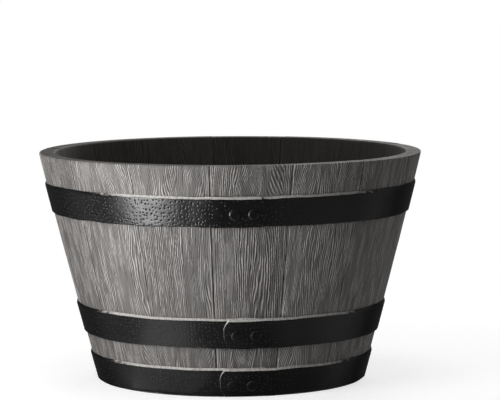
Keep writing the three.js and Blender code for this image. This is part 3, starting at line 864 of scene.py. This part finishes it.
def makeBoard(number):
    node = f"head_board_{number}"
    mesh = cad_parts[node].data.copy()
    work = bmesh.new()
    work.from_mesh(mesh)
    bmesh.ops.remove_doubles(work, verts=work.verts, dist=0.01 * mm)
    bmesh.ops.dissolve_limit(work, angle_limit=math.radians(1), verts=work.verts, edges=work.edges)
    rounded = [edge for edge in work.edges if isRounded(edge)]
    bmesh.ops.bevel(
        work, geom=rounded, offset=head["edgeRounding"], segments=2, affect="EDGES", profile=0.5)
    bmesh.ops.triangulate(work, faces=[face for face in work.faces if len(face.verts) > 4])
    work.to_mesh(mesh)
    work.free()
    mesh.materials.clear()
    mesh.materials.append(headWood)
    points = np.zeros(len(mesh.vertices) * 3, np.float32)
    mesh.vertices.foreach_get("co", points)
    points = points.reshape(-1, 3)
    low, high = points.min(0), points.max(0)
    shift = np.array([0.21 * number, 0.05, 0.33 * number])
    addField(mesh, "woodPlace", points[:, [1, 2, 0]] + shift)  # the grain runs along X, its place's Z
    edgeAway = np.minimum(points[:, 1] - low[1], high[1] - points[:, 1])
    addField(mesh, "grime", head["grime"] * np.exp(-edgeAway / head["grimeWidth"]))
    mesh.polygons.foreach_set("use_smooth", np.ones(len(mesh.polygons), bool))
    mesh.set_sharp_from_angle(angle=math.radians(28))
    piece = bpy.data.objects.new(f"headBoard{number}", mesh)
    bpy.context.scene.collection.objects.link(piece)
    return finishPiece(piece, "head_wood", node)


for number in range(1, head["boards"] + 1):
    makeBoard(number)

# The dowels keep the frame's own meshes and lie along Y, so their place is turned
dowel = {
    "count": 8,
    "bump": 0.3,
    "gloss": 0.35,
    "grainBumps": (900, 900, 30),
    "groove": (0.30, 0.20, 0.12),
    "wood": (0.46, 0.34, 0.22),
    "ridge": (0.56, 0.43, 0.29),
    "stain": (0.36, 0.25, 0.15),
}
dowelWood, tree, shader = newMaterial("dowelWood", dowel["gloss"])
spot = addNode(tree, "ShaderNodeTexCoord").outputs["Object"]
turned = addNode(tree, "ShaderNodeMapping", None, Vector=spot, Rotation=(math.radians(90), 0, 0)).outputs[0]
useGroup(
    tree, woodGrain, shader, dowel["bump"], 0.2 * mm,
    place=turned, grain=noiseAt(tree, turned, dowel["grainBumps"], 2), grime=0.0, groove=dowel["groove"],
    wood=dowel["wood"], ridge=dowel["ridge"], stain=dowel["stain"], fibreHeight=0.6,
)
for number in range(1, dowel["count"] + 1):
    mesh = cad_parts[f"head_dowel_{number}"].data
    mesh.materials.clear()
    mesh.materials.append(dowelWood)
print("head: done")

studio = {
    "floorRadius": 6.0,
    "floorSides": 96,
    "floorColour": (0.5, 0.5, 0.5),
    "floorLift": 0.72,  # of white, for what the camera and reflections see
    "fade": (0.5, 1.1),  # metres from the tub over which the floor turns white
    "fill": 0.08,  # the world's light on the part
}


def seenAs(tree):  # 1 for what the camera, reflections and glass see, 0 for the light on the part
    seen = tree.nodes.new("ShaderNodeLightPath").outputs
    mirrored = calc(tree, "ADD", seen["Is Glossy Ray"], seen["Is Transmission Ray"])
    return calc(tree, "MINIMUM", calc(tree, "ADD", seen["Is Camera Ray"], mirrored), 1.0)


paleFloor = bpy.data.materials.new("paleFloor")
paleFloor.use_nodes = True
tree = paleFloor.node_tree
tree.nodes.clear()
seen = seenAs(tree)
spot = addNode(tree, "ShaderNodeTexCoord").outputs["Object"]
away = addNode(tree, "ShaderNodeVectorMath", {"operation": "LENGTH"}, i0=spot).outputs["Value"]
fade = remap(tree, away, *studio["fade"], 0.0, 1.0)
lifted = calc(tree, "MULTIPLY", seen, studio["floorLift"])
lift = addNode(tree, "ShaderNodeEmission", None, Color=(1, 1, 1), Strength=lifted).outputs[0]
matt = addNode(tree, "ShaderNodeBsdfDiffuse", None, Color=studio["floorColour"]).outputs[0]
both = addNode(tree, "ShaderNodeAddShader", None, i0=matt, i1=lift).outputs[0]
white = addNode(tree, "ShaderNodeEmission", None, Color=(1, 1, 1), Strength=1.0).outputs[0]
faded = calc(tree, "MULTIPLY", seen, fade)
choice = addNode(tree, "ShaderNodeMixShader", None, Fac=faded, i1=both, i2=white).outputs[0]
tree.links.new(choice, tree.nodes.new("ShaderNodeOutputMaterial").inputs[0])
sides = studio["floorSides"]
turns = np.linspace(0, 2 * math.pi, sides, endpoint=False)
edge = studio["floorRadius"] * np.stack([np.cos(turns), np.sin(turns), 0 * turns], -1)
floor = makeMesh("floor", edge, [np.arange(sides)[None, :]], [paleFloor])

world = bpy.data.worlds.new("studio")
world.use_nodes = True
bpy.context.scene.world = world
tree = world.node_tree
tree.nodes.clear()
strength = calc(tree, "MULTIPLY_ADD", seenAs(tree), 1 - studio["fill"], studio["fill"])
sky = addNode(tree, "ShaderNodeBackground", None, Color=(1, 1, 1), Strength=strength).outputs[0]
tree.links.new(sky, tree.nodes.new("ShaderNodeOutputWorld").inputs[0])

lamps = {  # where each stands and what it faces, size, power, spread, and whether it lights matt surfaces
    "key": {
        "at": (-0.533, -0.614, 0.32), "to": (0, 0, 0.16), "size": (0.45, 0.5), "watts": 4.3,
        "spread": 180, "matt": True},
    "lowCard": {
        "at": (-0.42, -0.46, 0.085), "to": (-0.062, -0.23, 0.24), "size": (0.29, 0.19), "watts": 1.6,
        "spread": 45, "matt": False},
    "floorCardWide": {
        "at": (-0.130, -0.221, 0.012), "to": (-0.062, -0.105, 1), "size": (0.36, 0.21), "watts": 0.19,
        "spread": 180, "matt": False},
    "floorCardNear": {
        "at": (-0.116, -0.194, 0.011), "to": (-0.056, -0.093, 1), "size": (0.17, 0.13), "watts": 0.13,
        "spread": 180, "matt": False},
    "floorCardFar": {
        "at": (-0.180, -0.250, 0.010), "to": (-0.086, -0.120, 1), "size": (0.17, 0.15), "watts": 0.36,
        "spread": 180, "matt": False},
    "rightCard": {
        "at": (0.35, -0.35, 0.003), "to": (0.35, -0.35, 1), "size": (0.5, 0.5), "watts": 0.6,
        "spread": 180, "matt": False},
    "frontFill": {
        "at": (0.1, -2.6, 1.9), "to": (0, 0, 0.15), "size": (1.6, 1.2), "watts": 2.5,
        "spread": 180, "matt": True},
    "topFill": {
        "at": (0, 0, 2.4), "to": (0, 0, 0), "size": (0.9, 0.9), "watts": 10, "spread": 180, "matt": True},
    "backFill": {
        "at": (0.5, 1.9, 1.1), "to": (0, 0, 0.15), "size": (1.2, 1.2), "watts": 20,
        "spread": 180, "matt": True},
}
for name, lamp in lamps.items():
    light = bpy.data.lights.new(name, "AREA")
    light.shape = "RECTANGLE" if lamp["matt"] else "ELLIPSE"
    light.size, light.size_y = lamp["size"]
    light.energy = lamp["watts"]
    light.spread = math.radians(lamp["spread"])
    holder = bpy.data.objects.new(name, light)
    holder.location = lamp["at"]
    aim = Vector(lamp["to"]) - Vector(lamp["at"])
    holder.rotation_euler = aim.to_track_quat("-Z", "Y").to_euler()
    holder.visible_camera = False
    holder.visible_diffuse = lamp["matt"]
    bpy.context.scene.collection.objects.link(holder)

shot = {  # the photograph's camera, in metres, millimetres of lens and degrees
    "at": (0, -3.774, 0.599),
    "lens": 208.3,
    "sensor": 36,
    "clip": (0.05, 60),
    "down": 5.552,
    "right": 0.3885,
    "roll": -0.303,
}
camera = bpy.data.objects.new("camera", bpy.data.cameras.new("camera"))
camera.data.lens = shot["lens"]
camera.data.sensor_width = shot["sensor"]
camera.data.clip_start, camera.data.clip_end = shot["clip"]
turn = Matrix.Rotation(-math.radians(shot["right"]), 4, "Z")
tilt = Matrix.Rotation(math.radians(90 - shot["down"]), 4, "X")
roll = Matrix.Rotation(math.radians(shot["roll"]), 4, "Z")
camera.matrix_world = Matrix.Translation(shot["at"]) @ turn @ tilt @ roll
bpy.context.scene.collection.objects.link(camera)
bpy.context.scene.camera = camera
bpy.context.scene.view_settings.view_transform = "Standard"
print("studio: done")
